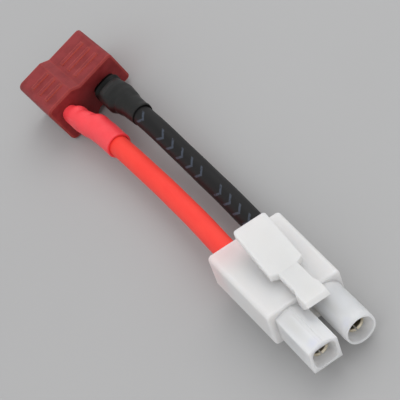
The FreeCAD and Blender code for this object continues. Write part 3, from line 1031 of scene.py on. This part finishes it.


# Painted light and shade on the white housing: the red lead's glow at the rear, painted light on the
# pale tubes and the gap between them, and warm and cool streaks of painted shade where the contacts
# show through.
BODY_PAINTED_LIGHT = (
    Patch((0.84, 0.48, 0.47), (-2.5, -21.0, 6.8), 7.5),
    Patch((0.94, 0.93, 0.90), (1.2, -43.0, 4.2), 8.0),
    Patch((0.99, 0.99, 1.0), (-1.9, -43.6, 6.0), 7.5),
    Patch((0.99, 0.99, 1.0), (4.4, -43.6, 4.1), 7.5),
    Patch((0.97, 0.88, 0.70), (1.2, -40.0, 2.5), 3.2),
    Patch((0.72, 0.69, 0.62), (-2.3, -41.6, 8.2), 1.5, 3.2),
    Patch((0.74, 0.72, 0.67), (3.7, -41.6, 6.6), 1.3, 3.2),
    Patch((0.66, 0.68, 0.90), (-2.0, -46.1, 8.2), 1.7),
    Patch((0.68, 0.70, 0.90), (3.4, -46.2, 6.4), 1.6),
)


@dataclass
class DressedSolids:
    """The solids that keep their shape, by finish."""

    effects: SharedEffects

    def finishes(self) -> Iterable[tuple[bpy.types.Material, tuple[str, ...]]]:
        """Each finish with the nodes that it goes on.

        Yields:
            A material and the names of its nodes.
        """
        # The third colour is the painted highlight on the plug's edges; the patch is painted shade
        # on the face between the sleeves.
        red = MouldedNylon(
            "red moulded nylon", (0.285, 0.026, 0.028), (0.205, 0.014, 0.016), (0.56, 0.078, 0.048),
            powder=(0.50, 0.30, 0.27), shade=Patch((0.14, 0.018, 0.020), (0.6, 33.4, 3.6), 7.0),
        )
        body = MilkyNylon(
            "milky nylon", (0.752, 0.738, 0.725), (0.722, 0.716, 0.716), 2.4, BODY_PAINTED_LIGHT
        )
        # A darker copy of the housing's nylon: painted shade for the extra light that the latch
        # catches.
        shaded_lever = MilkyNylon("milky lever nylon", (0.715, 0.71, 0.695), (0.70, 0.695, 0.69), 3.0)
        gold = RolledMetal("gold flashed brass", (0.70, 0.64, 0.50), (0.56, 0.50, 0.40), 0.34)
        steel = RolledMetal("rolled spring steel", (0.66, 0.66, 0.64), (0.55, 0.55, 0.53), 0.3)
        solder = RolledMetal(
            "bright solder", (0.72, 0.73, 0.75), (0.6, 0.61, 0.63), 0.35, (1.0, 1.0, 1.0)
        )
        strands = RolledMetal(
            "tinned strands", (0.72, 0.62, 0.52), (0.6, 0.42, 0.3), 0.35, (0.18, 12.0, 0.18)
        )
        yield red.build(self.effects), ("t_plug_housing",)
        yield body.build(self.effects), ("tube_housing",)
        yield shaded_lever.build(self.effects), ("latch_lever",)
        yield gold.build(self.effects), (
            "socket_contact_positive", "socket_contact_negative",
            "t_plug_contact_positive", "t_plug_contact_negative",
        )
        yield steel.build(self.effects), ("t_plug_spring_positive", "t_plug_spring_negative")
        yield solder.build(self.effects), ("solder_joint_positive", "solder_joint_negative")
        yield strands.build(self.effects), ("wire_core_red", "wire_core_black")

    def dress(self) -> None:
        """Put each finish on its solids."""
        for material, nodes in self.finishes():
            for node in nodes:
                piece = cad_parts[node]
                piece.data.materials.clear()
                piece.data.materials.append(material)
                LOG.info("dressed %s in %s", node, material.name)


@dataclass
class Studio:
    """Grey table top, soft light from above and the right, and the camera.

    The table's half width is in metres, and the camera's angles are in degrees.
    """

    floor_colour: Colour = (0.466, 0.464, 0.461)
    floor_tint: float = 0.97
    floor_half: float = 1.5
    sky: float = 0.79
    sky_colour: Colour = (0.97, 0.98, 1.0)
    sensor_mm: float = 36.0
    lens_mm: float = 135.33
    distance_mm: float = 251.9
    target: Point = (0.9288, -4.141, 4.0)
    elevation: float = 45.16
    roll: float = 44.75

    def floor(self, effects: SharedEffects) -> bpy.types.Object:
        """Flat table top with a very faint unevenness.

        Args:
            effects: the shared node groups.

        Returns:
            The table top.
        """
        finish = Finish("grey table", effects)
        tint = tuple(v * self.floor_tint for v in self.floor_colour)
        place = finish.graph.place()
        colour = finish.mottled(place, self.floor_colour, tint, scale=0.02, amount=0.35)
        finish.set({"Base Color": colour, "Roughness": 0.9, "Specular IOR Level": 0.1})
        half = self.floor_half
        corners = [(-half, -half, 0), (half, -half, 0), (half, half, 0), (-half, half, 0)]
        mesh = bpy.data.meshes.new("table_top")
        mesh.from_pydata(corners, [], [(0, 1, 2, 3)])
        mesh.materials.append(finish.material)
        table = bpy.data.objects.new("table_top", mesh)
        bpy.context.scene.collection.objects.link(table)
        return table

    def lamp(self, name: str, place: Point, size: float, power: float) -> None:
        """Square area lamp that faces the object.

        Args:
            name: the lamp's name.
            place: its place in metres.
            size: length of its side in metres.
            power: its power in watts.
        """
        light = bpy.data.lights.new(name, "AREA")
        light.shape = "SQUARE"
        light.size = size
        light.energy = power
        lamp = bpy.data.objects.new(name, light)
        lamp.location = place
        lamp.rotation_euler = (-Vector(place)).to_track_quat("-Z", "Y").to_euler()
        bpy.context.scene.collection.objects.link(lamp)

    def light(self) -> None:
        """Even sky and three soft lamps."""
        world = bpy.data.worlds.new("studio sky")
        world.use_nodes = True
        background = world.node_tree.nodes["Background"]
        background.inputs["Color"].default_value = (*self.sky_colour, 1.0)
        background.inputs["Strength"].default_value = self.sky
        bpy.context.scene.world = world
        self.lamp("key", (0.30, 0.10, 0.42), 0.36, 0.68)
        self.lamp("fill", (-0.22, -0.12, 0.44), 0.45, 0.20)
        self.lamp("front", (0.06, -0.42, 0.20), 0.30, 0.12)

    def camera(self) -> None:
        """Camera of the photograph: in front of the tubes, 45 degrees up, turned on its own axis.

        Right, up and back are the upright camera's ways. The roll turns the first two about the
        line of sight.
        """
        lift, turn = math.radians(self.elevation), math.radians(self.roll)
        right = Vector((1.0, 0.0, 0.0))
        up = Vector((0.0, math.sin(lift), math.cos(lift)))
        back = Vector((0.0, -math.cos(lift), math.sin(lift)))
        across = right * math.cos(turn) - up * math.sin(turn)
        rise = right * math.sin(turn) + up * math.cos(turn)
        data = bpy.data.cameras.new("camera")
        data.sensor_width = self.sensor_mm
        data.lens = self.lens_mm
        data.clip_start = 0.01
        data.clip_end = 10.0
        camera = bpy.data.objects.new("camera", data)
        matrix = Matrix((across, rise, back)).transposed().to_4x4()
        matrix.translation = Vector(self.target) * MM + back * self.distance_mm * MM
        camera.matrix_world = matrix
        bpy.context.scene.collection.objects.link(camera)
        bpy.context.scene.camera = camera


# Control points of the leads, from the contacts in the white housing to the tabs in the red plug.
RED_ROUTE: tuple[Point, ...] = (
    (-1.908, -30.821, 5.989), (-1.908, -23.971, 5.989), (-1.631, -9.021, 4.95),
    (-1.831, 3.479, 4.3), (-2.330, 16.022, 4.8), (-2.955, 27.706, 4.8),
)
BLACK_ROUTE: tuple[Point, ...] = (
    (4.346, -30.821, 4.077), (4.346, -23.971, 4.077), (4.689, -10.021, 3.8),
    (4.539, 5.479, 4.2), (4.456, 16.085, 5.91), (3.816, 28.067, 5.91),
)

# Stations and creases of the sleeves, from the plug's face back along the leads.
RED_STATIONS = (
    (-0.08, -4.82, -0.1, 1.72, 2.68, 2.6, 0.2),
    (-2.6, -4.45, -0.05, 2.1, 2.74, 2.5, 0.2),
    (-4.4, -4.28, 0.0, 2.2, 2.76, 2.4, 0.2),
    (-7.2, -3.56, 0.0, 2.42, 2.5, 2.2, 0.25),
    (-10.75, -3.37, 0.0, 2.445, 2.395, 2.0, 0.35),
    (-15.1, -3.42, 0.0, 2.395, 2.395, 2.0, 0.42),
)
BLACK_STATIONS = (
    (-0.08, 3.36, -0.26, 2.38, 1.22, 3.4, 0.2),
    (-2.0, 3.34, -0.02, 2.4, 1.48, 3.2, 0.2),
    (-3.0, 3.2, 0.45, 2.62, 2.05, 3.2, 0.2),
    (-4.8, 3.04, 0.708, 2.70, 2.328, 3.0, 0.2),
    (-6.4, 3.06, 1.035, 2.84, 2.34, 2.6, 0.25),
    (-8.1, 3.14, 1.11, 2.97, 2.265, 2.2, 0.25),
    (-9.8, 3.36, 1.11, 2.565, 2.265, 2.1, 0.25),
    (-11.9, 3.36, 1.11, 2.24, 2.24, 2.0, 0.25),
    (-15.4, 3.36, 1.11, 2.12, 2.12, 2.0, 0.17),
)
RED_CREASES = (
    Crease(-1.9, 35.0, 0.6, 60.0, 0.18),
    Crease(-3.4, 30.0, 0.6, 55.0, -0.16),
    Crease(-5.0, 25.0, 0.6, 55.0, 0.05),
    Crease(-6.0, 40.0, 0.6, 60.0, -0.18),
    Crease(-7.8, 35.0, 0.9, 55.0, 0.20),
    Crease(-4.4, 170.0, 0.9, 50.0, -0.12),
    Crease(-6.6, 160.0, 0.9, 45.0, 0.14),
    Crease(-15.0, 90.0, 0.25, 400.0, 0.04),
)
BLACK_CREASES = (
    Crease(-2.95, 100.0, 0.34, 120.0, 0.30),
    Crease(-3.8, 95.0, 0.42, 120.0, -0.26),
    Crease(-1.5, 90.0, 0.5, 110.0, -0.12),
    Crease(-5.4, 75.0, 0.8, 70.0, 0.14),
    Crease(-7.2, 60.0, 0.9, 60.0, 0.14),
    Crease(-9.2, 40.0, 0.7, 35.0, 0.10),
    Crease(-12.6, 100.0, 1.2, 60.0, -0.06),
    Crease(-15.0, 25.0, 0.5, 30.0, 0.16),
)


def build_leads(effects: SharedEffects) -> None:
    """Make the two silicone leads.

    Args:
        effects: the shared node groups.
    """
    red = SiliconeJacket(
        "red silicone", (1.0, 0.058, 0.040), (0.95, 0.045, 0.034), (1.0, 0.25, 0.18)
    )
    black = SiliconeJacket(
        "black silicone", (0.0080, 0.0072, 0.0074), (0.0065, 0.006, 0.006), (0.025, 0.026, 0.028),
        PrintedMarks((0.062, 0.076, 0.104), girth=12.1),
    )
    red_lead = Lead(
        "jacket_red", "red", Slot.RED_SILICONE, RED_ROUTE, 58.6, exit=(-1.860, -20.471, 5.800)
    )
    black_lead = Lead(
        "jacket_black", "black", Slot.BLACK_SILICONE, BLACK_ROUTE, 59.0,
        exit=(4.410, -20.471, 4.010),
    )
    for lead, finish in ((red_lead, red), (black_lead, black)):
        piece = lead.build(finish.build(effects))
        LOG.info("made %s of %d faces", piece.name, len(piece.data.polygons))


def build_sleeves(effects: SharedEffects) -> None:
    """Make the two shrunk sleeves.

    Args:
        effects: the shared node groups.
    """
    red = ShrunkSkin(
        "red shrunk sleeve", (1.0, 0.065, 0.080), (0.95, 0.052, 0.066), (1.0, 0.3, 0.28)
    )
    black = ShrunkSkin(
        "black shrunk sleeve", (0.0105, 0.0108, 0.0096), (0.008, 0.008, 0.0075), (0.03, 0.03, 0.03),
        # Painted shade on the black sleeve beside the plug.
        rough=0.42, shine=0.22, painted_shade_patch=Patch((0.001, 0.001, 0.001), (2.9, 33.2, 6.2), 5.2),
    )
    red_sleeve = ShrunkSleeve(
        "sleeve_red", "heat_shrink_red", Slot.RED_SLEEVE, RED_STATIONS, RED_CREASES
    )
    black_sleeve = ShrunkSleeve(
        "sleeve_black", "heat_shrink_black", Slot.BLACK_SLEEVE, BLACK_STATIONS, BLACK_CREASES
    )
    for sleeve, finish in ((red_sleeve, red), (black_sleeve, black)):
        piece = sleeve.build(finish.build(effects))
        LOG.info("made %s of %d faces", piece.name, len(piece.data.polygons))


def main() -> None:
    """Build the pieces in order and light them."""
    logging.basicConfig(level=logging.INFO, format="%(message)s")
    scene = bpy.context.scene
    scene.view_settings.view_transform = "Standard"
    effects = SharedEffects()
    DressedSolids(effects).dress()
    build_leads(effects)
    build_sleeves(effects)
    studio = Studio()
    studio.floor(effects)
    studio.light()
    studio.camera()
    bpy.context.view_layer.update()


if __name__ == "__main__":
    main()
